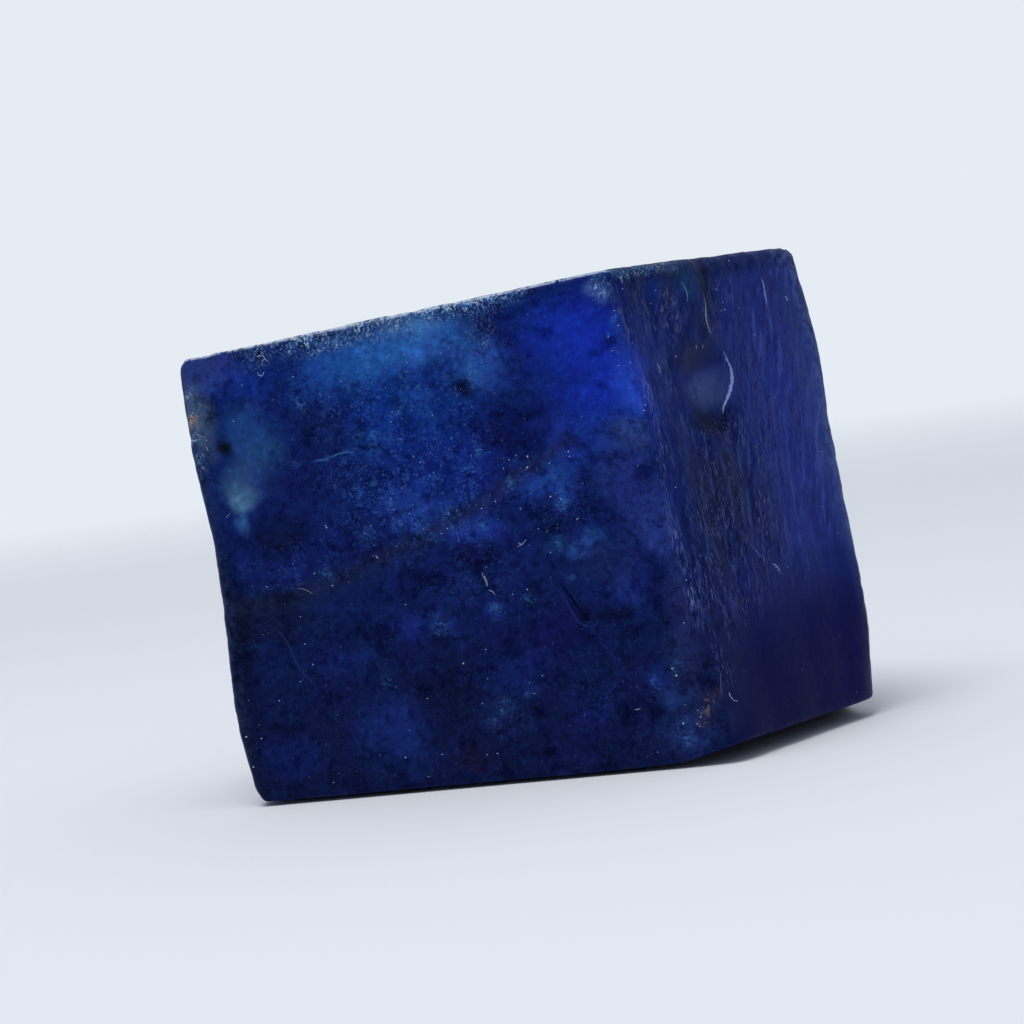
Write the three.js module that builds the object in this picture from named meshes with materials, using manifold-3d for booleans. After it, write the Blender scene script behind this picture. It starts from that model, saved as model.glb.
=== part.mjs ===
// Rough tanzanite: one blocky crystal, a five-sided prism about 36 mm wide, 24 mm deep and 26 mm tall.
// It has a broad flat face in front, a face with upright growth striae to its right, a narrow striated
// face behind that, a broken back with shell-shaped fractures, and a flat side. It stands on a flat base.
// Millimetres, +Z up. The origin is the middle of the base, and the broad face looks towards -Y.
import * as THREE from "three";
import { mergeVertices, toCreasedNormals } from "three/addons/utils/BufferGeometryUtils.js";
import Module from "manifold-3d";

const wasm = await Module();
wasm.setup();

// The prism's upright edges, anticlockwise seen from above, each with the face that follows it.
// `edge` lists its [x, y] at even steps from the base to the top, and `rounding` is how far the worn
// corner reaches along each face. `strips` and `bends` are the steps across the face and round the corner.
const uprights = [
  {
    edge: [[-17.03, -4.65], [-17.48, -4.65], [-17.38, -4.65], [-17.33, -4.65], [-17.88, -4.65], [-17.8, -4.65]],
    rounding: 0.6,
    bends: 2,
    face: "broad",
    strips: 24,
  },
  {
    edge: [[9.07, -12.35], [5.92, -11.65]],
    rounding: 1.0,
    bends: 4,
    face: "striated",
    strips: 36,
  },
  {
    edge: [[17.62, -2.5], [17.95, -2.0], [17.7, -1.5], [17.48, -1.0], [17.37, -0.5], [16.72, -0.05]],
    rounding: 0.9,
    bends: 3,
    face: "narrow",
    strips: 16,
  },
  {
    edge: [[14.5, 9.9], [14.8, 10.3], [14.1, 10.7], [13.6, 11.1]],
    rounding: 1.2,
    bends: 3,
    face: "broken",
    strips: 26,
  },
  {
    edge: [[-12.7, 12.3], [-13.5, 12.1], [-13.2, 12.2], [-13.9, 11.6]],
    rounding: 0.9,
    bends: 2,
    face: "side",
    strips: 16,
  },
];

// The top is a plane that falls gently to the left and to the back.
const top = { height: 25.39, riseAlongX: 0.055, riseAlongY: -0.036 };
const wallRows = 23;
const baseWear = 0.22; // width of the worn rim round the base
const topWear = 0.24; // and round the top
const baseRings = [0, 0.5]; // shares of the way from the middle to the rim
const topRings = [0.85, 0.45, 0];

// How far each face's striae stand out, how wide and tall they are, and the seed of their pattern.
const striae = {
  striated: { relief: 0.15, width: 1.5, reach: 14, seed: 11 },
  narrow: { relief: 0.2, width: 1.9, reach: 17, seed: 12 },
  side: { relief: 0.09, width: 2.6, reach: 20, seed: 13 },
};
const waviness = { relief: 0.06, size: 6, seed: 21 };
const fracture = { relief: 0.6, size: 8.5, fineRelief: 0.22, fineSize: 3.2, seed: 31 };

// Flat breaks. Each takes off what lies past a plane through `at` that faces along `facing`.
const breaks = [
  { name: "undercut below the striated face", at: [13.42, -7.4, 1.0], facing: [0.184, -0.167, -1] },
  { name: "base lifted a little, front right", at: [-1.1, -9.4, 0], facing: [0.024, -0.06, -1] },
  { name: "base lifted a little, front left", at: [-10.6, -6.5, 0], facing: [-0.042, -0.03, -1] },
  { name: "worn corner, lower left", at: [-16.88, -4.6, 1.0], facing: [-0.9, -0.16, -0.4] },
  { name: "worn corner, upper left", at: [-17.58, -4.5, 24.1], facing: [-0.8, -0.2, 0.57] },
  { name: "worn corner, lower right", at: [17.5, -2.7, 0.95], facing: [0.72, -0.25, -0.65] },
  { name: "slanting break, back right", at: [12.4, 8.8, 21.5], facing: [0.5, 0.62, 0.6] },
  { name: "slanting break, back left foot", at: [-11.3, 11.2, 4.4], facing: [-0.35, 0.8, -0.49] },
  { name: "slanting break, top left", at: [-12.6, 6.5, 24.2], facing: [-0.3, 0.24, 0.92] },
];

// Ledges, where cleavage took off a slab. Each has its inner corner at `at`, runs towards `turn`
// degrees anticlockwise from +X, and its floor falls by `fall` degrees that way.
const ledges = [
  { name: "first ledge on the top", at: [3.5, 5.5, 24.7], turn: 78, fall: 3 },
  { name: "second ledge on the top", at: [-4.5, 9.0, 23.5], turn: 104, fall: 7 },
];

// Shell-shaped scoops in a face: where the middle is along it from the upright before it, how high it
// is, how wide the scoop is, how deep, and how tall for its width.
const scoops = [
  { name: "round pit", face: "striated", along: 5.3, height: 19.8, width: 4.0, depth: 0.42, tall: 1.05 },
  { name: "shell, upper right of the back", face: "broken", along: 5.5, height: 19, width: 19, depth: 2.1, tall: 0.9 },
  { name: "shell, upper left of the back", face: "broken", along: 19, height: 18.5, width: 17, depth: 1.6, tall: 1.2 },
  { name: "shell, low on the back", face: "broken", along: 12.5, height: 6, width: 19, depth: 1.9, tall: 0.75 },
  { name: "shell, left foot of the back", face: "broken", along: 24.5, height: 5, width: 12, depth: 1.2, tall: 1.3 },
  { name: "shell, right foot of the back", face: "broken", along: 1.5, height: 5, width: 11, depth: 1.1, tall: 1 },
  { name: "shell on the narrow face", face: "narrow", along: 9.2, height: 5, width: 9, depth: 0.8, tall: 1.3 },
  { name: "shell on the side", face: "side", along: 12, height: 20.5, width: 11, depth: 0.9, tall: 1.2 },
];
const scoopStep = 0.9; // length of the flats that a scoop's surface is made of
const farPast = 60; // reach of the block that a break or a ledge takes off
const creaseAngle = 25; // degrees between two flats that shade as a sharp edge

// A repeatable number from 0 to 1 for each whole-number place in a pattern.
function chance(i, j, seed) {
  let n = Math.imul(i, 374761393) + Math.imul(j, 668265263) + Math.imul(seed, 1274126177);
  n = Math.imul(n ^ (n >>> 13), 1103515245);
  return ((n ^ (n >>> 16)) >>> 0) / 4294967296;
}

// Smooth bumps and hollows from -1 to 1, about one for each unit of x and y.
function ripple(x, y, seed) {
  const [i, j] = [Math.floor(x), Math.floor(y)];
  const [u, v] = [x - i, y - j].map((t) => t * t * (3 - 2 * t));
  const near = THREE.MathUtils.lerp(chance(i, j, seed), chance(i + 1, j, seed), u);
  const far = THREE.MathUtils.lerp(chance(i, j + 1, seed), chance(i + 1, j + 1, seed), u);
  return 2 * THREE.MathUtils.lerp(near, far, v) - 1;
}

const topAt = (x, y) => top.height + top.riseAlongX * x + top.riseAlongY * y;

// Where an upright is at a share of its height.
function cornerAt(upright, share) {
  const places = upright.edge.map(([x, y]) => new THREE.Vector2(x, y));
  return new THREE.SplineCurve(places).getPoint(share);
}

// A point `distance` from one corner towards another.
function towards(from, to, distance) {
  return to.clone().sub(from).setLength(distance).add(from);
}

// The smooth outline at a share of the height: each upright's rounded corner, then the face after it.
function outlineAt(share) {
  const corners = uprights.map((upright) => cornerAt(upright, share));
  const count = uprights.length;
  return uprights.flatMap((upright, i) => {
    const next = uprights[(i + 1) % count];
    const [before, here, after] = [corners[(i + count - 1) % count], corners[i], corners[(i + 1) % count]];
    const bendEnd = towards(here, after, upright.rounding);
    const bend = new THREE.QuadraticBezierCurve(towards(here, before, upright.rounding), here, bendEnd);
    const side = new THREE.LineCurve(bendEnd, towards(after, here, next.rounding));
    const onBend = bend.getPoints(upright.bends).slice(0, -1);
    const onSide = side.getPoints(upright.strips).slice(0, -1);
    const width = here.distanceTo(after);
    return [...onBend, ...onSide].map((spot, k) => ({
      spot,
      face: upright.face,
      along: spot.distanceTo(here),
      width,
      onFace: k >= upright.bends,
    }));
  });
}

// How far a face stands out at a place on it. Relief fades out at the face's two ends.
function reliefAt({ face, along, width, onFace }, z) {
  if (!onFace) return 0;
  const fade = THREE.MathUtils.smoothstep(Math.min(along, width - along), 0, 1.6);
  const wave = waviness.relief * ripple(along / waviness.size, z / waviness.size, waviness.seed);
  if (face in striae) {
    const { relief, width: pitch, reach, seed } = striae[face];
    const broad = ripple(along / pitch, z / reach, seed);
    const fine = ripple((along / pitch) * 2.3, (z / reach) * 1.7, seed + 1);
    return fade * (wave + relief * (broad + 0.4 * fine));
  }
  if (face === "broken") {
    const { relief, size, fineRelief, fineSize, seed } = fracture;
    const lumps = ripple(along / size, z / size, seed);
    const ledges = ripple(along / fineSize, z / fineSize, seed + 1);
    return fade * (relief * lumps + fineRelief * ledges);
  }
  return fade * wave;
}

// The wall at one row: the outline there, pushed out or in by its relief.
function wallRing(share) {
  const outline = outlineAt(share);
  return outline.map((place, i) => {
    const before = outline[(i + outline.length - 1) % outline.length].spot;
    const after = outline[(i + 1) % outline.length].spot;
    const run = after.clone().sub(before).normalize();
    const outward = new THREE.Vector2(run.y, -run.x);
    const z = share * topAt(place.spot.x, place.spot.y);
    const spot = outward.multiplyScalar(reliefAt(place, z)).add(place.spot);
    return new THREE.Vector3(spot.x, spot.y, share * topAt(spot.x, spot.y));
  });
}

// A ring of the base or the top: the wall's rim drawn in towards the axis, on the base or top plane.
function capRing(rim, drawIn, heightAt) {
  return rim.map(({ x, y }) => {
    const share = drawIn(Math.hypot(x, y));
    return new THREE.Vector3(x * share, y * share, heightAt(x * share, y * share));
  });
}

// The whole skin as rings, from the middle of the base, up the wall, to the middle of the top.
function skinRings() {
  const onBase = () => 0;
  const lowest = baseWear / top.height;
  const highest = 1 - topWear / top.height;
  const foot = wallRing(lowest);
  const head = wallRing(highest);
  const rings = baseRings.map((share) => capRing(foot, () => share, onBase));
  rings.push(capRing(foot, (radius) => 1 - baseWear / radius, onBase));
  for (let row = 0; row <= wallRows; row += 1) {
    rings.push(wallRing(THREE.MathUtils.lerp(lowest, highest, row / wallRows)));
  }
  rings.push(capRing(head, (radius) => 1 - topWear / radius, topAt));
  rings.push(...topRings.map((share) => capRing(head, () => share, topAt)));
  return rings;
}

// A closed mesh as a solid for joining and cutting.
function solidOf(geometry) {
  geometry.deleteAttribute("normal");
  geometry.deleteAttribute("uv");
  const { attributes, index } = mergeVertices(geometry, 1e-4);
  const vertProperties = attributes.position.array;
  return new wasm.Manifold(new wasm.Mesh({ numProp: 3, vertProperties, triVerts: index.array }));
}

function geometryOf(solid) {
  const { vertProperties, triVerts } = solid.getMesh();
  const geometry = new THREE.BufferGeometry();
  geometry.setAttribute("position", new THREE.BufferAttribute(vertProperties, 3));
  geometry.setIndex(new THREE.BufferAttribute(triVerts, 1));
  return toCreasedNormals(geometry, THREE.MathUtils.degToRad(creaseAngle));
}

// The prism with its striae and rough back: a lathe blank gives the closed skin, with one profile point
// for each ring, and then each vertex goes to its place on its ring.
function makePrism() {
  const rings = skinRings();
  const columns = rings[0].length;
  const skin = new THREE.LatheGeometry(rings.map((ring, row) => new THREE.Vector2(1, row)), columns);
  const places = skin.getAttribute("position");
  for (let column = 0; column <= columns; column += 1) {
    rings.forEach((ring, row) => {
      places.setXYZ(column * rings.length + row, ...ring[column % columns]);
    });
  }
  return solidOf(skin);
}

// The block past a break's plane.
function makeBreak({ at, facing }) {
  const outward = new THREE.Vector3(...facing).normalize();
  const block = new THREE.BoxGeometry(farPast, farPast, farPast);
  block.applyQuaternion(new THREE.Quaternion().setFromUnitVectors(new THREE.Vector3(0, 0, 1), outward));
  block.translate(...outward.multiplyScalar(farPast / 2).add(new THREE.Vector3(...at)));
  return solidOf(block);
}

// The block that a ledge takes off: it stands on the ledge's floor, against its wall.
function makeLedge({ at, turn, fall }) {
  const block = new THREE.BoxGeometry(farPast, farPast, farPast);
  block.translate(farPast / 2, 0, farPast / 2);
  block.rotateY(THREE.MathUtils.degToRad(fall));
  block.rotateZ(THREE.MathUtils.degToRad(turn));
  block.translate(...at);
  return solidOf(block);
}

// The ball that bites a scoop out of a face from outside it.
function makeScoop({ face, along, height, width, depth, tall }) {
  const i = uprights.findIndex((upright) => upright.face === face);
  const share = height / top.height;
  const start = cornerAt(uprights[i], share);
  const end = cornerAt(uprights[(i + 1) % uprights.length], share);
  const middle = towards(start, end, along);
  const run = end.sub(start).normalize();
  const radius = (width ** 2 / 4 + depth ** 2) / (2 * depth);
  const steps = Math.round((2 * Math.PI * radius) / scoopStep / 2) * 2;
  const ball = new THREE.SphereGeometry(radius, steps, steps / 2);
  ball.rotateX(Math.PI / 2);
  ball.scale(1, 1, tall);
  const away = radius - depth;
  ball.translate(middle.x + run.y * away, middle.y - run.x * away, height);
  return solidOf(ball);
}

function makeCrystal() {
  const cuts = [...breaks.map(makeBreak), ...ledges.map(makeLedge), ...scoops.map(makeScoop)];
  return geometryOf(cuts.reduce((solid, cut) => solid.subtract(cut), makePrism()));
}

const tanzanite = new THREE.MeshStandardMaterial({ color: 0x14276e, roughness: 0.38, metalness: 0 });

const crystal = new THREE.Mesh(makeCrystal(), tanzanite);
crystal.name = "tanzanite_crystal";

const part = new THREE.Group();
part.add(crystal);

export default part;
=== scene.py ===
import math

import bmesh
import bpy
import numpy as np
from mathutils import Matrix, Vector, noise
from mathutils.bvhtree import BVHTree


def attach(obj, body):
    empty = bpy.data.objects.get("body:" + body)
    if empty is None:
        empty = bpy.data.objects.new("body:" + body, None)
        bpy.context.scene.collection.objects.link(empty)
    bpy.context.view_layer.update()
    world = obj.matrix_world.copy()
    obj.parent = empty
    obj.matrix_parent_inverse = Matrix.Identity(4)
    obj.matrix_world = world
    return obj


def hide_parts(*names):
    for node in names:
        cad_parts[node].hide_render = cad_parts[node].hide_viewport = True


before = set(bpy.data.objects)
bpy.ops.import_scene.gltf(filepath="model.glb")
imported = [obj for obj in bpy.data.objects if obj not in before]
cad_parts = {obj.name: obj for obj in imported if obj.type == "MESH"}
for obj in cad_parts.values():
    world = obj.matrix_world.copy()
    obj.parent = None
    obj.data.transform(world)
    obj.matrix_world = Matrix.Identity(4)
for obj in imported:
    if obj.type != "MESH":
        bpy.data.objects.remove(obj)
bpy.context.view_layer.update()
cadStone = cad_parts["tanzanite_crystal"]
mm = 0.001


def linear(hexColour):
    parts = [int(hexColour[i:i + 2], 16) / 255 for i in (1, 3, 5)]
    return [c / 12.92 if c <= 0.04045 else ((c + 0.055) / 1.055) ** 2.4 for c in parts] + [1.0]


def addNode(tree, kind, inputs=None, **settings):
    node = tree.nodes.new(kind)
    for name, value in settings.items():
        setattr(node, name, value)
    for name, value in (inputs or {}).items():
        if isinstance(value, bpy.types.NodeSocket):
            tree.links.new(value, node.inputs[name])
        else:
            node.inputs[name].default_value = value
    return node


def startMaterial(name):
    material = bpy.data.materials.new(name)
    material.use_nodes = True
    tree = material.node_tree
    where = addNode(tree, "ShaderNodeTexCoord").outputs["Object"]
    return material, tree, tree.nodes["Principled BSDF"], where


def twoToned(name, finish):   # soft patches of two colours
    material, tree, shader, where = startMaterial(name)
    patch = addNode(tree, "ShaderNodeTexNoise", {"Vector": where, "Scale": finish["patchesPerMm"] / mm,
                                                 "Detail": 1.0}).outputs["Fac"]
    tint = addNode(tree, "ShaderNodeMix", {"Factor": patch, 6: linear(finish["colour"]),
                                           7: linear(finish["bright"])}, data_type="RGBA").outputs[2]
    tree.links.new(tint, shader.inputs["Base Color"])
    shader.inputs["Roughness"].default_value = finish["roughness"]
    shader.inputs["IOR"].default_value = finish["ior"]
    return material


def addPiece(name, mesh, material):
    mesh.polygons.foreach_set("use_smooth", [True] * len(mesh.polygons))
    mesh.materials.append(material)
    piece = bpy.data.objects.new(name, mesh)
    bpy.context.scene.collection.objects.link(piece)
    return piece


def paint(mesh, name, kind, values):   # values are one for each vertex, with the two poles last
    field = {"FLOAT": "value", "FLOAT_COLOR": "color", "FLOAT_VECTOR": "vector"}[kind]
    mesh.attributes.new(name, kind, "POINT").data.foreach_set(field, values.astype(np.float32).ravel())


def smooth(low, high, value):
    t = np.clip((value - low) / (high - low), 0.0, 1.0)
    return t * t * (3 - 2 * t)


def between(starts, full, fades, gone, value):
    return smooth(starts, full, value) * smooth(gone, fades, value)


def near(distance, width):
    return np.exp(-(distance / width) ** 2)


def awayFrom(place, along, tall, halfWide=1.0, halfTall=1.0):   # 1 at the edge of an oval of that size
    return np.hypot((place[:, 0] - along) / halfWide, (place[:, 1] - tall) / halfTall)


def lumps(places, size, seed):
    shifted = places / (np.ones(3) * size) + np.array([7.31, 3.17, 5.77]) * seed
    return np.array([noise.noise(p) for p in shifted.tolist()])


# A place on a face is how far it lies from the face's left upright, in mm, and its height. The
# uprights lean, so each has its foot and how far it moves for each mm of height.
faces = {
    "broad": {"foot": (-17.03, -4.65), "lean": (-0.031, 0.0), "along": (0.959, -0.283)},
    "striated": {"foot": (9.07, -12.35), "lean": (-0.121, 0.027), "along": (0.668, 0.744)},
}


def onFacePlane(places, name):
    face = faces[name]
    left = np.outer(places[:, 2], face["lean"]) + face["foot"]
    return np.column_stack([(places[:, :2] - left) @ np.array(face["along"]), places[:, 2]])


def lookingAlong(outward, name):
    along = faces[name]["along"]
    return outward[:, 0] * along[1] - outward[:, 1] * along[0]


def rounded(path):
    path = np.array(path, float)
    for _ in range(2):   # cuts the corners twice
        early, late = 0.75 * path[:-1] + 0.25 * path[1:], 0.25 * path[:-1] + 0.75 * path[1:]
        cut = np.stack([early, late], axis=1).reshape(-1, path.shape[1])
        path = np.concatenate([path[:1], cut, path[-1:]])
    return path


def distanceToPath(places, path):   # and which side of it, and how far from its nearer end
    path = rounded(path)
    nearest, side, travelled = (np.full(len(places), value) for value in (np.inf, 1.0, 0.0))
    gone = 0.0
    for start, end in zip(path[:-1], path[1:]):
        run, away = end - start, places - start
        length = np.hypot(*run)
        share = np.clip(away @ run / length ** 2, 0, 1)
        distance = np.linalg.norm(away - share[:, None] * run, axis=1)
        closer = distance < nearest
        side[closer] = np.sign(run[0] * away[closer, 1] - run[1] * away[closer, 0])
        travelled[closer] = gone + share[closer] * length
        nearest = np.minimum(nearest, distance)
        gone += length
    return nearest, side, np.minimum(travelled, gone - travelled)


skin = {
    "middle": (0.0, 0.0, 12.5),   # mm; every part of the surface can be seen from here
    "aims": 2400,                 # tries round the middle, to find the outline
    "forward": 0.3,               # how much a wall looks forward to be one of the marked faces
    "fineStep": 0.125,            # mm between vertices across the two marked faces
    "coarseStep": 0.42,           # and across the others
    "blend": 41,                  # aims over which one step turns into the other
    "rowStep": 0.175,             # between rows, and half of it next to the base and the top
    "nextTo": 0.7,                # mm that counts as next to them
    "topSlope": (25.39, 0.055, -0.036),   # aimed height at the middle, and its rise along x and y
    "baseRings": 6,
    "topRings": 24,
    "softening": 2,               # rounds of evening out
    "calming": 6,                 # rounds for the directions that relief is pushed in
    "comparing": 10,              # rounds for the even skin that edges stand proud of
}


def skinOfCrystal():
    solid = bmesh.new()
    solid.from_mesh(cadStone.data)
    bmesh.ops.remove_doubles(solid, verts=solid.verts, dist=1e-6)
    tree = BVHTree.FromBMesh(solid)
    middle = Vector(skin["middle"]) * mm

    # the outline at half height, and the angle of each column of vertices round it
    turn = np.linspace(0, 2 * np.pi, skin["aims"], endpoint=False)
    ways = np.stack([np.cos(turn), np.sin(turn)], axis=1)
    reach = np.array([(tree.ray_cast(middle, Vector((x, y, 0)))[0] - middle).length for x, y in ways]) / mm
    outline = ways * reach[:, None]
    run = np.roll(outline, -1, axis=0) - outline
    length = np.linalg.norm(run, axis=1)
    step = np.where(run[:, 0] / length > skin["forward"], skin["fineStep"], skin["coarseStep"])
    half = skin["blend"] // 2
    blur = np.ones(skin["blend"]) / skin["blend"]
    step = np.convolve(np.concatenate([step[-half:], step, step[:half]]), blur, mode="valid")
    count = np.concatenate([[0], np.cumsum(length / step)])
    columns = int(count[-1])
    place = np.interp(np.arange(columns) * count[-1] / columns, count, np.arange(len(turn) + 1))
    angle = place * 2 * np.pi / len(turn)
    radius = np.interp(place, np.arange(len(turn) + 1), np.append(reach, reach[0]))
    rim = np.stack([np.cos(angle), np.sin(angle)], axis=1) * radius[:, None]

    # rings of aims from the base, up the wall and over the top
    height, riseX, riseY = skin["topSlope"]
    shares = [0.0]
    while shares[-1] < 1:
        nearEnd = min(shares[-1], 1 - shares[-1]) * height < skin["nextTo"]
        shares.append(shares[-1] + skin["rowStep"] * (0.5 if nearEnd else 1) / height)
    shares = np.array(shares) / shares[-1]
    rings = [(s, 0.0) for s in np.linspace(0, 1, skin["baseRings"] + 1)[1:-1]]
    rings += [(1.0, share) for share in shares]
    rings += [(s, 1.0) for s in np.linspace(1, 0, skin["topRings"] + 1)[1:-1]]

    places = np.empty((len(rings), columns, 3))
    for i, (spread, share) in enumerate(rings):
        flat = rim * spread
        tall = share * (height + riseX * flat[:, 0] + riseY * flat[:, 1])
        for j, aim in enumerate(np.column_stack([flat, tall])):
            places[i, j] = tree.ray_cast(middle, Vector(aim * mm) - middle)[0]
    poles = [tree.ray_cast(middle, Vector((0, 0, z)))[0] for z in (-1, 1)]
    solid.free()

    for _ in range(skin["softening"]):   # rounds off the flats that the solid is made of
        places[1:-1] += 0.5 * (neighbours(places) / 4 - places[1:-1])
    return places / mm, np.array(poles) / mm


def meshFromRings(name, places, poles):
    rings, columns = places.shape[:2]
    spots = np.concatenate([places.reshape(-1, 3), poles]) * mm
    column = np.arange(columns)
    after = (column + 1) % columns
    row = np.arange(rings - 1)[:, None] * columns
    quads = np.stack([row + column, row + after, row + after + columns, row + column + columns], axis=-1)
    low = np.stack([after, column, np.full(columns, len(spots) - 2)], axis=-1)
    last = (rings - 1) * columns
    high = np.stack([column + last, after + last, np.full(columns, len(spots) - 1)], axis=-1)
    mesh = bpy.data.meshes.new(name)
    mesh.from_pydata(spots.tolist(), [], quads.reshape(-1, 4).tolist() + low.tolist() + high.tolist())
    mesh.update()
    return mesh


def neighbours(places):   # the sum of the four round each vertex, but for the first and last rings
    return places[:-2] + places[2:] + np.roll(places, 1, axis=1)[1:-1] + np.roll(places, -1, axis=1)[1:-1]


def outwardOf(places):
    across = np.roll(places, -1, axis=1) - np.roll(places, 1, axis=1)
    outward = np.cross(across, np.gradient(places, axis=0))
    for _ in range(skin["calming"]):   # so that relief pushed this way doesn't fold at the edges
        outward /= np.linalg.norm(outward, axis=-1, keepdims=True)
        outward[1:-1] += neighbours(outward)
    return outward / np.linalg.norm(outward, axis=-1, keepdims=True)


def proudOf(places):
    calm = places.copy()
    for _ in range(skin["comparing"]):
        calm[1:-1] = neighbours(calm) / 4
    return places - calm


# The low corner of the striated face is worn smooth, between these mm up and mm along the face. "calm" is
# where the striae fade out above it, along a line that rises to the right and is a little uneven.
wornCorner = {
    "rounds": 60, "up": (9.5, 7.0), "along": (0.4, 1.6, 11.8, 13.4), "rightOf": 8.0, "inFrontOf": 2.0,
    "calm": (7.6, 4.4), "rising": 0.28, "uneven": 0.8,
}


def wearCorner(rings):
    place = onFacePlane(rings.reshape(-1, 3), "striated").reshape(*rings.shape[:2], 2)
    worn = smooth(*wornCorner["up"], place[..., 1]) * between(*wornCorner["along"], place[..., 0])
    worn = worn * (rings[..., 0] > wornCorner["rightOf"]) * (rings[..., 1] < wornCorner["inFrontOf"])
    for _ in range(wornCorner["rounds"]):
        beside = (np.roll(rings, 1, axis=1) + np.roll(rings, -1, axis=1)) / 2
        rings += 0.5 * worn[..., None] * (beside - rings)


print("skin: casting the fine mesh onto the solid")
rings, poles = skinOfCrystal()
wearCorner(rings)
outward = outwardOf(rings).reshape(-1, 3)
proud = np.einsum("ij,ij->i", proudOf(rings).reshape(-1, 3), outward)
spots = rings.reshape(-1, 3)
height = spots[:, 2]
broad, striated = onFacePlane(spots, "broad"), onFacePlane(spots, "striated")

# each vertex's share of the broad face, of the striated face, and of everything else
sharing = {"ridge": (-0.10, 0.15), "upright": 0.6, "facing": (0.55, 0.80)}
pastRidge = smooth(*sharing["ridge"], striated[:, 0])
upright = np.maximum(np.hypot(outward[:, 0], outward[:, 1]), sharing["upright"])
onBroad = (1 - pastRidge) * smooth(*sharing["facing"], lookingAlong(outward, "broad") / upright)
onStriated = pastRidge * smooth(*sharing["facing"], lookingAlong(outward, "striated") / upright)
elsewhere = 1 - onBroad - onStriated

edge = {"proud": (0.02, 0.09), "up": (1.0, 4.0), "turnsOver": 0.5}
edges = smooth(*edge["proud"], proud) * smooth(*edge["up"], height)
brow = np.argmax(outward.reshape(rings.shape)[..., 2] > edge["turnsOver"], axis=0)   # the top edge's rows
belowTop = np.tile(rings[brow, np.arange(rings.shape[1]), 2], len(rings)) - height

# The growth striations lean over the further they are from the ridge.
striation = {"lean": 0.26, "along": (1.0, 8.0), "uprightAt": 12}
lean = striation["lean"] * smooth(*striation["along"], striated[:, 0]) * onStriated
flow = spots.copy()
flow[:, :2] -= (lean * (height - striation["uprightAt"]))[:, None] * np.array(faces["striated"]["along"])

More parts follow.
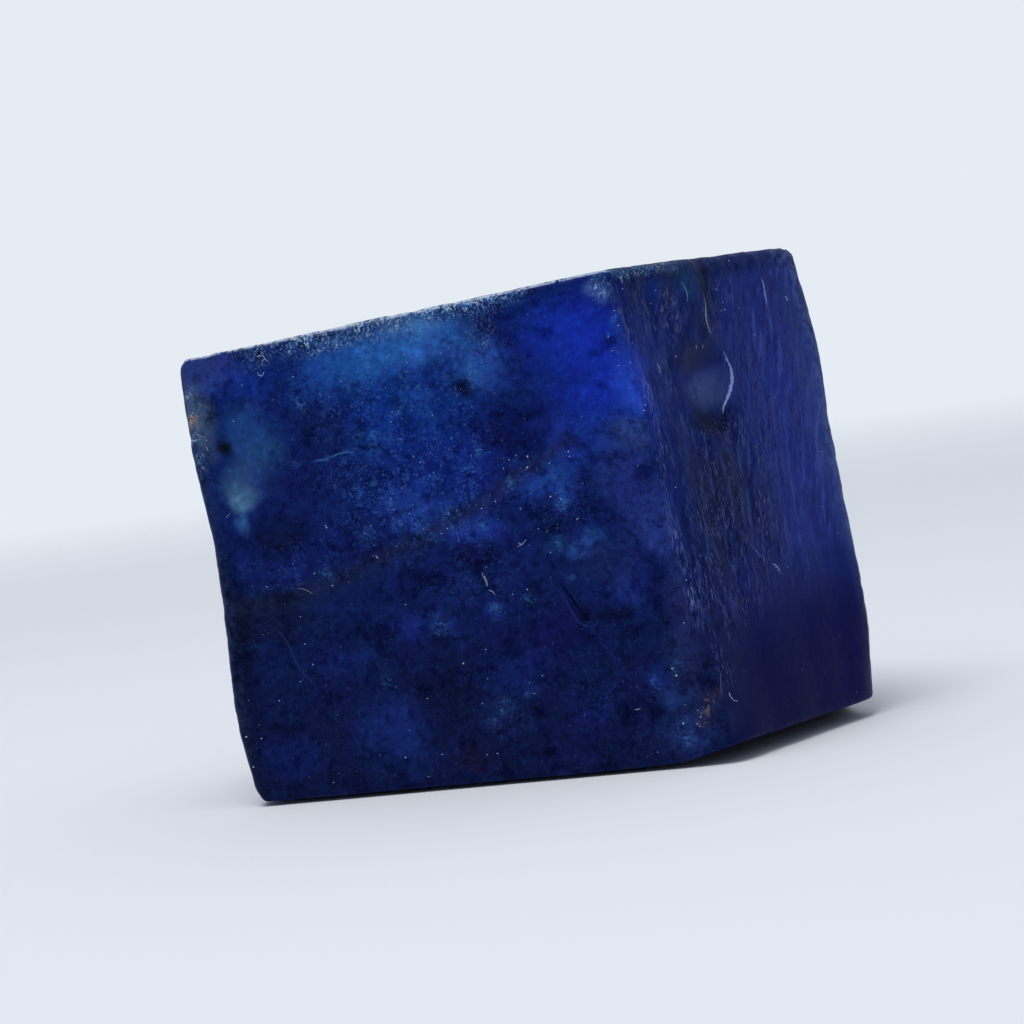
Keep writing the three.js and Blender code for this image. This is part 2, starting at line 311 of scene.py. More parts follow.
# Marks that are both shape and colour: each is a path of (mm along the face, mm up), with a width and a
# rise in mm. The wide ones are painted on the vertices, and the material draws the others.
marks = {
    # The pale colours of these two lips by the pit are painted glints on their raised rims.
    "glint on the pit lip": {
        "face": "striated", "width": 0.13, "rise": 0.09, "colour": "#93a6e2", "strength": 0.95,
        "path": [(7.05, 21.2), (7.14, 20.6), (7.31, 20.1), (7.26, 19.5), (6.92, 18.9), (6.44, 18.35),
                 (6.1, 18.1), (5.96, 17.7)]},
    "glint on the lip over the pit": {
        "face": "striated", "width": 0.08, "rise": 0.06, "colour": "#93a8c6", "strength": 0.85,
        "path": [(6.75, 24.35), (6.57, 23.67), (6.26, 23.04), (6.22, 22.55), (6.33, 21.8)]},
    "small lip": {
        "face": "striated", "width": 0.1, "rise": 0.05, "colour": "#7f9cc2", "strength": 0.8,
        "path": [(5.0, 25.2), (5.28, 24.75), (5.29, 24.25), (5.15, 23.8)]},
    "dark line beside it": {
        "face": "striated", "width": 0.1, "rise": -0.04, "colour": "#0c1226", "strength": 0.8,
        "path": [(5.3, 22.9), (5.42, 23.4), (5.5, 24.0), (5.45, 24.5)]},
    "dark line over the pit": {
        "face": "striated", "width": 0.12, "rise": -0.05, "colour": "#0d1428", "strength": 0.8,
        "path": [(6.75, 22.4), (6.85, 23.2), (6.95, 23.9), (6.9, 24.6)]},
    "chip line": {
        "face": "striated", "width": 0.09, "rise": 0.05, "colour": "#7f8dca", "strength": 0.6,
        "path": [(4.95, 10.9), (5.3, 10.3), (5.75, 9.95), (6.1, 9.7)]},
    "chip end": {
        "face": "striated", "width": 0.12, "rise": 0.05, "colour": "#9fb0de", "strength": 0.85,
        "path": [(6.25, 9.7), (6.6, 9.4), (6.75, 9.25), (7.0, 8.85)]},
    "spall by the ridge": {
        "face": "striated", "width": 0.14, "rise": 0.04, "colour": "#a6b8e8", "strength": 0.8,
        "path": [(1.5, 21.1), (1.64, 20.7), (1.62, 20.35)]},
    "far spall": {
        "face": "striated", "width": 0.2, "rise": 0.04, "colour": "#8290d4", "strength": 0.9,
        "path": [(12.0, 24.8), (11.95, 24.2), (11.8, 23.5), (11.7, 23.0)]},
    "soft far streak": {
        "face": "striated", "width": 0.16, "rise": 0.03, "colour": "#5262b8", "strength": 0.4,
        "path": [(14.4, 17.7), (13.9, 16.7), (13.5, 16.0), (12.8, 15.0)]},
    "crack rim": {
        "face": "broad", "width": 0.11, "rise": 0.05, "colour": "#2c3a8c", "strength": 0.4,
        "path": [(18.95, 10.1), (19.35, 9.3), (19.62, 8.6), (19.8, 8.2), (20.15, 7.88), (20.6, 7.88),
                 (21.0, 8.15)]},
    "crack": {
        "face": "broad", "width": 0.17, "rise": -0.12, "colour": "#04061c", "strength": 1.0,
        "path": [(20.15, 8.5), (19.85, 9.0), (19.6, 9.5), (19.35, 10.0), (19.1, 10.4)]},
    "crack pit": {
        "face": "broad", "width": 0.45, "rise": -0.22, "colour": "#04051a", "strength": 1.0,
        "path": [(19.7, 8.45), (20.15, 8.4), (20.65, 8.35)]},
    "crack tail": {
        "face": "broad", "width": 0.3, "rise": -0.05, "colour": "#080b28", "strength": 0.75,
        "path": [(20.5, 8.45), (21.2, 8.4), (22.0, 8.3), (22.9, 8.2)]},
    "smoky vein": {
        "face": "broad", "width": 0.52, "rise": 0.0, "colour": "#22283e", "strength": 0.55,
        "path": [(0.4, 10.9), (3.5, 11.1), (6.5, 11.65), (9.9, 12.8), (12.5, 13.6), (16.0, 15.1),
                 (19.0, 16.8), (21.5, 17.9)]},
    "fine vein": {
        "face": "broad", "width": 0.07, "rise": 0.0, "colour": "#34448e", "strength": 0.35,
        "path": [(2.7, 9.9), (3.4, 9.2), (3.7, 8.4), (3.8, 7.7), (4.3, 6.8), (5.0, 6.1)]},
    "pale streak": {
        "face": "broad", "width": 0.1, "rise": 0.0, "colour": "#4c80c8", "strength": 0.45, "broken": True,
        "path": [(5.6, 18.4), (6.7, 18.3), (7.6, 18.3), (8.0, 18.45), (8.8, 18.6), (9.5, 18.45)]},
    "forked line": {
        "face": "broad", "width": 0.08, "rise": 0.0, "colour": "#24389a", "strength": 0.25,
        "path": [(20.6, 7.3), (21.5, 6.05), (22.05, 5.35)]},
    "its other branch": {
        "face": "broad", "width": 0.08, "rise": 0.0, "colour": "#24389a", "strength": 0.25,
        "path": [(22.3, 5.3), (22.9, 5.55), (23.5, 5.9)]},
    "standing line": {
        "face": "broad", "width": 0.08, "rise": 0.0, "colour": "#263e94", "strength": 0.25,
        "path": [(16.9, 9.7), (16.65, 9.0), (16.6, 8.2)]},
}
painted = {   # mm, but for "reach", which is in widths of the mark
    "wider": 0.25, "leastWidth": 0.12, "ends": 0.45, "thinEnds": 1.8, "reach": (3.6, 2.2),
}
wander = 0.035 * np.column_stack([lumps(spots, 0.5, 31), lumps(spots, 0.5, 32)])
brokenUp = smooth(-0.35, 0.25, lumps(spots, 0.9, 33))
lineOffset, lineTint = np.full(len(spots), 9.0), np.zeros((len(spots), 4))
for mark in marks.values():
    place, covered = (broad, onBroad) if mark["face"] == "broad" else (striated, onStriated)
    distance, side, toEnd = distanceToPath(place + wander, mark["path"])
    tapered = covered * smooth(0.0, painted["ends"], toEnd) * (brokenUp if mark.get("broken") else 1.0)
    mark["cover"] = tapered * near(distance, max(mark["width"], painted["leastWidth"]))
    if mark["width"] < painted["wider"]:
        offset = side * distance / mark["width"] / (0.35 + 0.65 * smooth(0.0, painted["thinEnds"], toEnd))
        mine = np.abs(offset) < np.minimum(np.abs(lineOffset), painted["reach"][0])
        lineOffset[mine] = offset[mine]
        lineTint[mine] = linear(mark["colour"])
        lineTint[mine, 3] = (mark["strength"] * tapered * smooth(*painted["reach"], np.abs(offset)))[mine]

relief = {   # mm high, with the size of its lumps in mm
    "grain": (0.011, 0.38), "wave": (0.030, 3.5), "streak": (0.050, (0.26, 0.26, 0.9)),
    "band": (0.035, (1.3, 1.3, 9.0)), "ridgeChip": (0.09, (0.4, 0.4, 1.2)), "edgeChip": (0.10, 0.8),
    "ripple": (0.030, 1.1),
    "streaksLower": 0.6, "edgesHigher": 0.6,   # as shares of their height
}
pit = {"at": (4.95, 19.75), "radius": 2.05, "softSide": 1.22, "edge": (1.15, 0.78)}
ridge = {
    "path": [(24.5, 25.0), (24.7, 23.4), (25.1, 22.1), (25.3, 20.2), (25.45, 19.1), (25.6, 17.5),
             (25.6, 13.9), (25.65, 12.3), (25.8, 10.8), (25.95, 9.2), (26.0, 7.6), (26.15, 6.0)],
    "width": 0.18, "wider": 0.018, "under": 18,   # mm, and how much wider for each mm under that height
    "up": (6.6, 8.2), "lowerChips": (13.0, 11.5), "upperChips": (17.5, 19.0, 20.5, 22.0),
    "foot": {"along": (1.7, 0.6), "up": (3.0, 5.5, 7.5, 10.0), "strength": 0.7},   # streaks there
}
# where the striations stand out: mm along, mm up, half width, half height, strength
streakZones = [
    (1.7, 23.4, 1.0, 2.4, 0.6), (3.6, 23.4, 1.3, 1.7, 0.85), (2.4, 19.6, 0.7, 2.4, 0.7),
    (1.0, 17.0, 0.9, 3.2, 0.5), (6.0, 15.8, 3.4, 2.6, 0.9), (3.2, 11.8, 2.6, 3.2, 1.0),
    (6.5, 12.0, 2.4, 2.8, 0.85), (1.2, 9.0, 1.4, 3.2, 1.0), (3.0, 8.2, 2.2, 1.7, 0.7),
    (8.8, 17.5, 1.8, 5.0, 0.5), (11.5, 20.0, 3.0, 5.5, 0.25), (8.0, 23.2, 1.5, 2.0, 0.35),
]
# how far out an oval's cover starts and is full, as shares of its half width or height
softEdge = {"zone": (1.35, 0.35), "cloud": (1.45, 0.25), "bloom": (1.6, 0.1)}


def inZones(place, zones):
    most = np.zeros(len(place))
    for *oval, strength in zones:
        most = np.maximum(most, strength * smooth(*softEdge["zone"], awayFrom(place, *oval)))
    return most


def raised(name, places, seed):
    high, size = relief[name]
    return high * lumps(places, size, seed)


fromPit = awayFrom(striated, *pit["at"]) / pit["radius"]
fromPit /= np.where(striated[:, 0] < pit["at"][0], pit["softSide"], 1.0)
inPit = smooth(*pit["edge"], fromPit) * onStriated
unevenHeight = height - wornCorner["rising"] * striated[:, 0] + wornCorner["uneven"] * lumps(spots, 1.5, 18)
calmCorner = smooth(*wornCorner["calm"], unevenHeight)
foot = ridge["foot"]
footStreaks = foot["strength"] * smooth(*foot["along"], striated[:, 0]) * between(*foot["up"], height)
streaky = onStriated * (1 - inPit) * (1 - calmCorner) * (0.18 + inZones(striated, streakZones))
streaky = np.maximum(streaky, footStreaks * onStriated)
ridgeWidth = ridge["width"] + ridge["wider"] * np.maximum(ridge["under"] - height, 0)
byRidge = near(distanceToPath(broad, ridge["path"])[0], ridgeWidth) * (1 - elsewhere)
byRidge *= smooth(*ridge["up"], height) * (0.45 + 0.55 * brokenUp)
chipped = np.maximum(smooth(*ridge["lowerChips"], height), between(*ridge["upperChips"], height))
byRidge *= 0.5 + 0.5 * chipped

push = raised("grain", spots, 1) + raised("wave", spots, 2)
push += streaky * (2 * np.abs(raised("streak", flow, 3)) - relief["streak"][0] * relief["streaksLower"])
push += onStriated * (1 - inPit) * (1 - calmCorner) * raised("band", flow, 4)
push -= byRidge * np.maximum(raised("ridgeChip", spots, 5), 0)
edgeChips = np.maximum(raised("edgeChip", spots, 6), 0)
push -= edges * (edgeChips - relief["edgeChip"][0] * relief["edgesHigher"])
push += elsewhere * raised("ripple", spots, 7)
for mark in marks.values():
    push += mark["rise"] * mark["cover"]
push[height < 0.02] = 0.0   # the foot stays flat
lowest, highest = round(float(push.min()), 3), round(float(push.max()), 3)
print("relief: pushed", len(spots), "vertices by", lowest, "to", highest, "mm")

# soft clouds of colour under each face: mm along it, mm up, half width, half height, colour, strength
clouds = {
    "broad": [
        (10.6, 23.3, 3.2, 1.6, "#2460ac", 0.8), (14.0, 23.8, 2.8, 1.2, "#3572c2", 0.7),
        (16.7, 22.3, 1.6, 1.5, "#2c5eae", 0.7), (8.3, 23.1, 1.7, 1.3, "#2250aa", 0.55),
        (11.0, 25.2, 6.0, 0.7, "#244478", 0.8), (13.4, 24.6, 1.6, 0.6, "#508aca", 0.6),
        (12.0, 20.6, 3.6, 2.3, "#104094", 0.6), (14.0, 17.0, 4.2, 3.0, "#132c86", 0.55),
        (3.6, 18.7, 1.6, 2.0, "#2a5484", 0.65), (3.4, 20.7, 1.5, 1.5, "#265090", 0.55),
        (2.3, 17.3, 1.0, 1.3, "#42688e", 0.5), (2.6, 16.9, 0.9, 0.8, "#52789e", 0.4),
        (2.2, 16.7, 0.6, 0.6, "#6088a8", 0.4), (2.15, 15.4, 0.5, 0.55, "#3c6ca8", 0.6),
        (1.4, 23.7, 2.0, 1.4, "#384a92", 0.65), (3.4, 22.8, 1.7, 1.0, "#183ca0", 0.55),
        (0.7, 21.2, 0.9, 2.0, "#587282", 0.6), (0.5, 17.5, 0.6, 2.5, "#152848", 0.55),
        (0.6, 9.5, 1.1, 5.5, "#080a18", 0.75), (0.4, 2.5, 0.9, 2.5, "#090c22", 0.55),
        (22.2, 23.1, 2.6, 1.9, "#1a37b8", 0.75), (22.9, 20.4, 2.4, 2.1, "#1a36b4", 0.72),
        # painted glow: the bright cloud at 25.0, 20.0, by the ridge, is light shining through the thin
        # corner
        (25.0, 20.0, 1.0, 1.7, "#3054d4", 0.8), (21.2, 17.6, 2.4, 1.5, "#2244ae", 0.65),
        (19.4, 15.5, 1.4, 1.2, "#2b54b2", 0.6), (20.6, 12.2, 1.9, 0.6, "#2e589e", 0.6),
        (14.6, 13.7, 2.0, 0.8, "#2545a4", 0.6), (12.0, 15.3, 1.8, 1.0, "#2547a0", 0.5),
        (15.3, 9.3, 0.8, 0.7, "#1a3086", 0.4), (12.5, 8.7, 0.9, 0.6, "#1b367a", 0.4),
        (11.0, 8.9, 1.3, 0.9, "#1a3482", 0.55), (8.8, 3.2, 2.2, 2.1, "#1a347c", 0.65),
        (24.5, 1.7, 1.5, 1.3, "#2a3c7c", 0.55), (2.8, 2.6, 1.6, 1.2, "#12226c", 0.45),
        (24.6, 12.8, 1.5, 2.5, "#2f4190", 0.6), (23.5, 16.2, 1.6, 2.4, "#283e88", 0.6),
        (25.4, 8.6, 0.7, 3.6, "#29316a", 0.6), (7.0, 7.4, 0.9, 0.8, "#193078", 0.45),
        (15.2, 3.6, 1.4, 0.9, "#263676", 0.4), (23.5, 4.7, 0.7, 0.7, "#20368c", 0.4),
        (25.2, 5.2, 1.2, 2.3, "#252f60", 0.8), (24.2, 3.6, 0.7, 0.6, "#2a468a", 0.6),
        (24.65, 23.0, 0.5, 1.6, "#2a43a8", 0.45), (23.75, 25.2, 0.6, 0.45, "#5680c4", 0.55),
        (24.0, 24.7, 0.4, 0.4, "#3f63b6", 0.65), (22.9, 9.9, 1.0, 1.1, "#26409a", 0.45),
        (24.3, 17.7, 0.9, 0.9, "#384c8a", 0.55), (21.5, 20.7, 0.8, 0.8, "#12247c", 0.6),
        (17.4, 16.0, 1.0, 0.9, "#10195a", 0.5), (16.0, 5.8, 1.7, 1.3, "#182a74", 0.45),
        (20.0, 3.6, 1.8, 1.5, "#162468", 0.4), (18.0, 24.2, 1.2, 0.9, "#0b1c5a", 0.8),
        (15.9, 21.1, 0.6, 0.6, "#05072a", 1.0), (7.4, 19.9, 2.2, 1.5, "#101c4a", 0.7),
        (6.5, 17.4, 2.7, 1.5, "#101a4e", 0.6), (4.3, 14.5, 2.0, 1.3, "#0c1130", 0.75),
        (17.6, 18.4, 2.0, 1.2, "#0d1042", 0.8), (14.4, 12.3, 0.9, 0.6, "#100c3e", 0.8),
        (19.3, 13.7, 1.1, 0.8, "#0e1a42", 0.7), (21.8, 10.9, 1.5, 1.2, "#1d2856", 0.5),
        (12.0, 5.0, 1.9, 2.2, "#0e102c", 0.55), (3.0, 10.1, 3.0, 1.4, "#131725", 0.6),
        (18.5, 7.4, 2.6, 1.5, "#131554", 0.5), (12.9, 1.6, 1.1, 0.9, "#20172e", 0.5),
        (1.95, 19.65, 0.5, 0.55, "#0a1410", 1.0),
    ],
    "striated": [
        (11.5, 18.0, 5.0, 9.0, "#26378c", 0.85), (9.8, 11.0, 2.6, 1.8, "#273792", 0.55),
        (4.0, 14.4, 2.8, 2.2, "#222b41", 0.75), (2.6, 11.8, 3.0, 2.0, "#1b264a", 0.55),
        (5.4, 16.4, 1.3, 0.6, "#223276", 0.6), (6.8, 12.0, 1.6, 2.4, "#1f2964", 0.5),
        (1.2, 24.7, 1.2, 1.2, "#172142", 0.75), (2.9, 25.1, 1.1, 0.9, "#12307e", 0.7),
        (5.6, 25.2, 0.9, 0.9, "#1a4a76", 0.75), (7.2, 24.6, 0.8, 1.5, "#0e1d33", 0.8),
        (6.0, 22.8, 1.0, 1.3, "#212b43", 0.6), (0.1, 20.3, 0.8, 2.2, "#2a46c8", 0.8),
        # painted light and shade in the pit: the pale cloud at 5.45, 19.1 lights its floor, the one at 4.8,
        # 21.2 shades its top
        (4.8, 21.2, 2.1, 0.9, "#232c50", 0.85), (5.45, 19.1, 1.6, 1.1, "#4a5890", 0.85),
        # painted shade under the pit at 4.3, 17.4; the tall pale cloud at 14.0, 16.0 is a painted sheen on
        # the far edge
        (4.3, 17.4, 1.8, 0.5, "#181f40", 0.75), (14.0, 16.0, 1.2, 9.0, "#425594", 0.5),
        # partly painted shade: the two dark clouds low on the striated face
        (11.5, 4.2, 6.5, 3.4, "#04084a", 0.85), (4.0, 2.0, 4.5, 3.2, "#060a42", 0.7),
        (0.5, 5.5, 1.6, 4.2, "#232a54", 0.55), (0.1, 2.2, 0.7, 1.0, "#262c58", 0.6),
        # painted shade under the pit at 4.7, 17.25
        (4.7, 17.25, 1.3, 0.5, "#20284e", 0.7), (1.3, 21.4, 1.3, 3.4, "#283a80", 0.6),
        (1.9, 10.3, 0.9, 1.2, "#121a40", 0.45),
    ],
}
# The low colours make each face darker towards the base, partly painted shade.
ground = {   # the colour between the clouds, and the heights over which the low one turns into the high one
    "broad": {"low": "#111b46", "high": "#11276c", "heights": (1.0, 24.0)},
    "striated": {"low": "#0a0f48", "high": "#1b296e", "heights": (3.5, 11.5)},
    "elsewhere": {"low": "#0d153c", "high": "#142460", "bright": "#1f4088"},
}
keepsShape = 0.9   # mm of half width under which a cloud is bent less
warp = [0.45 * lumps(spots, 1.7, seed) + 0.25 * lumps(spots, 0.6, seed + 1) for seed in (14, 16)]
warp = np.column_stack(warp)


def mixed(low, high, share):
    return np.outer(1 - share, linear(low)[:3]) + np.outer(share, linear(high)[:3])


def laidOver(tone, colour, cover):
    return tone + cover[:, None] * (np.array(linear(colour)[:3]) - tone)


def toneOn(name, place):
    under = ground[name]
    tone = mixed(under["low"], under["high"], smooth(*under["heights"], height + warp[:, 1]))
    for *oval, colour, strength in clouds[name]:
        away = awayFrom(place + min(1.0, oval[2] / keepsShape) * warp, *oval)
        tone = laidOver(tone, colour, strength * smooth(*softEdge["cloud"], away))
    return tone


def toneElsewhere():
    under = ground["elsewhere"]
    quick = lumps(spots, 2.2, 12)
    tone = mixed(under["low"], under["high"], smooth(-0.35, 0.4, lumps(spots, 6.0, 11) + 0.5 * quick))
    return laidOver(tone, under["bright"], 0.7 * smooth(0.0, 0.6, lumps(spots, 4.5, 13) + 0.4 * quick))


tone = onBroad[:, None] * toneOn("broad", broad) + onStriated[:, None] * toneOn("striated", striated)
tone += elsewhere[:, None] * toneElsewhere()
for mark in marks.values():
    if mark["width"] >= painted["wider"]:
        tone = laidOver(tone, mark["colour"], mark["strength"] * mark["cover"])

# Where the layers of the material show. Zones are as above, and those of the powder have mm under the top
# edge, below nought, in place of mm up. Blooms are small pale clumps of grains, with a radius in mm.
grainZones = [
    (12.5, 16.5, 5.2, 4.2, 1.0), (12.0, 22.0, 6.2, 3.2, 0.8), (5.0, 12.8, 3.0, 1.6, 0.4),
    (19.5, 15.0, 2.5, 2.0, 0.5), (15.0, 11.5, 3.0, 2.0, 0.3), (12.6, 8.8, 1.0, 0.8, 0.3),
    (20.5, 5.0, 3.5, 2.0, 0.12), (15.0, 3.6, 1.5, 0.8, 0.25),
]
powderZones = [
    (9.5, 0.1, 5.5, 1.1, 1.0), (16.5, 0.1, 3.5, 0.9, 1.0), (17.2, -1.6, 0.9, 1.3, 0.2),
    (4.6, -0.6, 1.2, 0.6, 0.3), (23.9, -0.6, 0.6, 0.7, 0.9),
]
hazyZones = [(2.7, 18.5, 2.0, 3.4, 1.0), (11.5, 23.4, 4.5, 1.5, 0.7)]
blooms = [
    (9.6, 19.4, 0.45), (10.5, 19.1, 0.5), (5.8, 18.3, 0.18), (7.6, 18.4, 0.24), (8.7, 18.6, 0.18),
    (10.4, 18.1, 0.55), (11.8, 16.9, 0.25), (8.7, 16.3, 0.3), (10.5, 15.5, 0.4), (12.3, 15.1, 0.6),
    (11.0, 14.3, 0.4), (12.0, 14.3, 0.4), (14.2, 17.8, 0.28), (9.5, 17.6, 0.22), (11.8, 16.1, 0.25),
    (11.0, 23.1, 0.5), (9.3, 22.3, 0.55), (9.5, 21.8, 0.3), (12.8, 22.0, 0.45), (13.7, 21.0, 0.5),
    (13.7, 24.3, 0.35), (9.0, 14.0, 0.4), (12.4, 8.7, 0.5), (15.3, 4.2, 0.45), (15.2, 9.2, 0.5),
    (8.9, 6.3, 0.45), (15.9, 17.6, 0.35), (15.3, 16.9, 0.3), (14.1, 14.9, 0.35), (14.4, 14.1, 0.3),
    (15.4, 14.0, 0.45), (20.0, 14.4, 0.4), (20.1, 15.9, 0.3), (16.6, 21.8, 0.6), (15.6, 23.2, 0.4),
    (13.6, 19.8, 0.4), (6.7, 21.4, 0.45), (7.6, 19.3, 0.3), (19.4, 12.5, 0.45), (6.3, 12.3, 0.3),
    (16.3, 4.6, 0.3), (12.0, 20.3, 0.4), (17.4, 15.9, 0.3), (19.6, 10.6, 0.3), (24.6, 1.6, 0.5),
    (24.4, 2.3, 0.35), (23.3, 4.5, 0.35), (24.4, 5.2, 0.35), (14.4, 3.3, 0.4), (17.2, 9.6, 0.3),
    (11.2, 16.4, 0.35), (13.1, 16.2, 0.3), (9.9, 16.6, 0.3), (13.4, 14.6, 0.35), (10.0, 20.4, 0.35),
    (11.3, 18.9, 0.3), (23.8, 25.2, 0.45), (24.1, 24.6, 0.3), (24.5, 23.6, 0.28), (23.9, 22.7, 0.26),
    (24.0, 21.9, 0.26), (24.2, 21.1, 0.26), (25.0, 20.6, 0.26), (25.1, 19.5, 0.3), (25.2, 18.9, 0.3),
]
royal = {"oval": (22.5, 21.3, 3.0, 3.6), "edge": (1.3, 0.5)}   # clearer and bluer there, by the ridge
powder = {
    "leftEdge": (0.9, 0.1), "leftUp": (17.5, 19.0, 23.0, 24.0),
    "striatedAlong": (7.0, 3.0), "striatedUnder": (0.35, 0.0), "striatedStrength": 0.8,
}
rust = {
    "path": [(25.5, 2.4), (25.9, 3.2), (26.4, 3.8)], "width": 0.30,   # by the ridge foot
    "spot": (3.5, 24.4), "spotStrength": 0.6,                         # high on the striated face
}
ochre = {"spot": (0.35, 21.35), "width": 0.30}
# where the painted sheen shows on the striated face's far edge, as it turns away
farEdgeSheen = {"along": (13.0, 14.2), "up": (7.0, 11.0), "facing": (0.25, 0.65)}

clumped = smooth(-0.15, 0.30, lumps(spots, 1.3, 21) + 0.4 * lumps(spots, 0.6, 22))
scattered = smooth(-0.10, 0.45, lumps(spots, 0.8, 24) + 0.6 * lumps(spots, 0.35, 25))
hereAndThere = smooth(-0.1, 0.4, lumps(spots, 2.6, 34))
stripes = smooth(-0.50, 0.05, lumps(flow, (0.7, 0.7, 1.6), 23))
ragged = 0.34 * np.column_stack([lumps(spots, 0.45, 26), lumps(spots, 0.45, 27)])
plain = 1 - 0.80 * np.clip(onStriated, 0, 1)
hazy = onBroad * inZones(broad, hazyZones)
inRoyal = smooth(*royal["edge"], awayFrom(broad, *royal["oval"]))
granular = onBroad * (0.10 + 0.90 * inZones(broad, grainZones)) * (1 - 0.75 * inRoyal)
bloomed = np.zeros(len(spots))
for along, tall, radius in blooms:
    away = awayFrom(broad + ragged + warp * (1, 0), along, tall, radius, radius)
    bloomed = np.maximum(bloomed, smooth(*softEdge["bloom"], away))
bloomed *= onBroad * (0.3 + 0.7 * scattered)

underTop = np.column_stack([broad[:, 0], -belowTop])
powdery = onBroad * inZones(underTop, powderZones) * (0.35 + 0.65 * scattered)
onStriatedTop = onStriated * smooth(*powder["striatedUnder"], belowTop + 0.3 * lumps(spots, 0.5, 19))
powdery += powder["striatedStrength"] * onStriatedTop * smooth(*powder["striatedAlong"], striated[:, 0])
onLeftEdge = onBroad * smooth(*powder["leftEdge"], broad[:, 0])
powdery += onLeftEdge * between(*powder["leftUp"], height) * scattered

rusty = near(distanceToPath(broad, rust["path"])[0], rust["width"]) * (1 - elsewhere)
rusty *= 0.35 + 0.65 * smooth(-0.25, 0.15, lumps(spots, 0.28, 35))
rustySpot = onStriated * near(awayFrom(striated, *rust["spot"]), rust["width"])
rusty = np.maximum(rusty, rust["spotStrength"] * rustySpot)
facing, facingFront = lookingAlong(outward, "striated"), lookingAlong(outward, "broad")
sheenAtFarEdge = smooth(*farEdgeSheen["along"], striated[:, 0]) * smooth(*farEdgeSheen["up"], height)
sheenAtFarEdge *= smooth(*farEdgeSheen["facing"], facing)

# how strongly each layer shows, by its name in the material
shows = {
    "veins": 0.85 * plain * (1 - 0.6 * hazy),
    "milk": 0.85 * plain,
    "violet": 0.5 * onBroad * between(0.5, 4.0, 23.6, 25.4, broad[:, 0]) + 0.5 * elsewhere,
    "darkmottle": 0.8 * plain * (1 - 0.75 * hazy) * (1 - 0.55 * inRoyal),
    "palemottle": 0.7 * plain,
    "blotches": 0.35 * granular,
    "curls": 0.52 * granular * clumped,
    "grains": 0.55 * granular * (0.25 + 0.75 * clumped),
    "bloom": 0.44 * bloomed,
    "grooves": 0.9 * np.clip(streaky + 0.35 * onStriated, 0, 1) * (1 - calmCorner),
    "swells": 0.7 * np.clip(streaky + 0.2 * onStriated, 0, 1) * (1 - calmCorner) * (1 - inPit),
    "pores": 0.40 * plain * (1 - onStriated) * (1 - 0.8 * hazy) * (1 - 0.6 * inRoyal),
    # lighter streaks over the striated face's right part, partly a painted sheen
    "streaks_and_sheen": 0.55 * onStriated * smooth(6.5, 10.0, striated[:, 0]) * (1 - calmCorner),
    # painted light and shade of the striae: pale streak highlights with streak shadows beside them
    "streak_highlights": 0.68 * streaky * stripes,
    "streak_shadows": 0.68 * streaky * stripes,
    "ridgeflecks": 0.85 * byRidge,
    "frost": 0.95 * powdery + 0.12 * elsewhere * edges * hereAndThere,
    "underfrost": 0.75 * powdery,
    "frostclumps": 0.95 * powdery,
    # painted shade on the striated face's brow, where it turns up towards the light
    "brow": 0.95 * pastRidge * smooth(0.04, 0.45, outward[:, 2]) * smooth(0.0, 0.2, facing),
    "ochre": 0.9 * onBroad * near(awayFrom(broad, *ochre["spot"]), ochre["width"]) + 0.05 * rusty,
    # pale rubbed edges, and a painted sheen where the striated face's far edge turns away
    "rubbed": edges * (0.10 + 0.14 * elsewhere * hereAndThere + 0.5 * sheenAtFarEdge),
    # painted highlight: the worn top edge of the broad face, pale where it turns up to the light from above
    "rim": 0.95 * smooth(0.62, 0.80, outward[:, 2]) * smooth(0.14, 0.34, facingFront) * (1 - pastRidge),
    "rust": 0.7 * rusty,
    "specks": 0.12 + 0.50 * granular + 0.35 * bloomed,
    "dots": 0.06 * onBroad + 0.62 * granular,
    # painted glints of the grains: pale pinpoints in the granular clouds
    "painted_glints": np.clip(granular * (0.3 + 0.5 * scattered) + 0.9 * bloomed, 0, 1),
    "lineoffset": lineOffset,
}

crystalMesh = meshFromRings("crystal", (spots + outward * push[:, None]).reshape(rings.shape), poles)
for name, values in shows.items():
    paint(crystalMesh, name, "FLOAT", np.append(values, [values[0], values[-1]]))
for name, values in {"tone": np.column_stack([tone, np.ones(len(tone))]), "linetint": lineTint}.items():
    paint(crystalMesh, name, "FLOAT_COLOR", np.concatenate([values, values[:1], values[-1:]]))
paint(crystalMesh, "flow", "FLOAT_VECTOR", np.concatenate([flow, poles]))
print("crystal:", len(crystalMesh.polygons), "faces")

